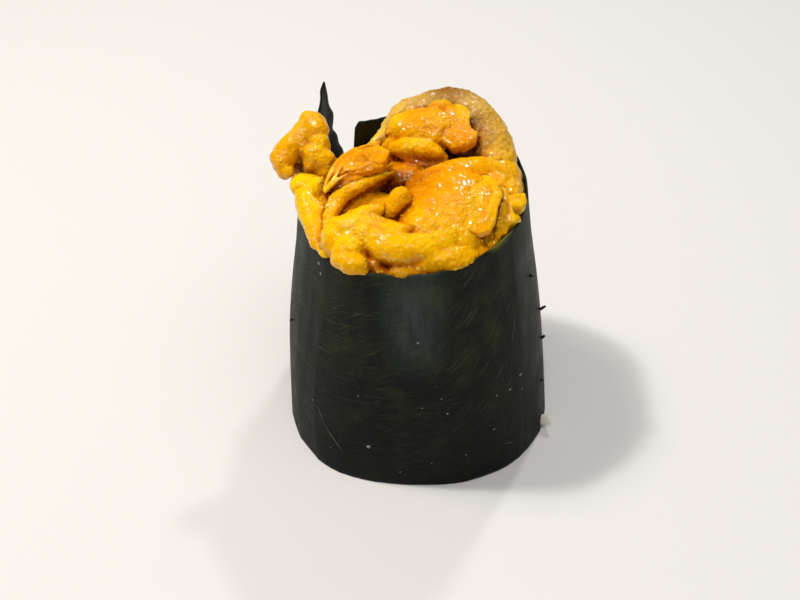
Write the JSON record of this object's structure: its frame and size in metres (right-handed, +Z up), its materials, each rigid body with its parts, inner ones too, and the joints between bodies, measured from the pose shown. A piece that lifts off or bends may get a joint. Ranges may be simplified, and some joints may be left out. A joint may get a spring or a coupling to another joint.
{
  "type": "sea urchin gunkan sushi",
  "caption": "Sea urchin gunkan sushi: a strip of nori wound round a block of packed rice, heaped with soft golden lobes of sea urchin roe.",
  "frame": {"origin": "centre of the flat underside, on the surface that the sushi stands on", "axes": "+Z up, +Y towards the back, where the loose outer end of the nori stands up, +X towards the right as seen from the front"},
  "size_m": [0.0398, 0.0434, 0.0436],
  "materials": {
    "nori": "dark green-black dried seaweed with a faint sheen and pressed fibres",
    "rice": "moist, slightly translucent cooked short-grain rice",
    "uni_gold": "wet, granular golden sea urchin roe",
    "uni_tan": "wet, coarse tan sea urchin roe"
  },
  "bodies": {
    "root": {"nori_wrap": "nori", "rice": "rice", "uni_front": "uni_gold", "uni_curl": "uni_gold", "uni_knob": "uni_gold", "uni_ribbed": "uni_gold", "uni_left": "uni_gold", "uni_arched": "uni_gold", "uni_back": "uni_gold", "uni_right": "uni_gold", "uni_rim": "uni_gold", "uni_tan": "uni_tan"}
  },
  "joints": []
}
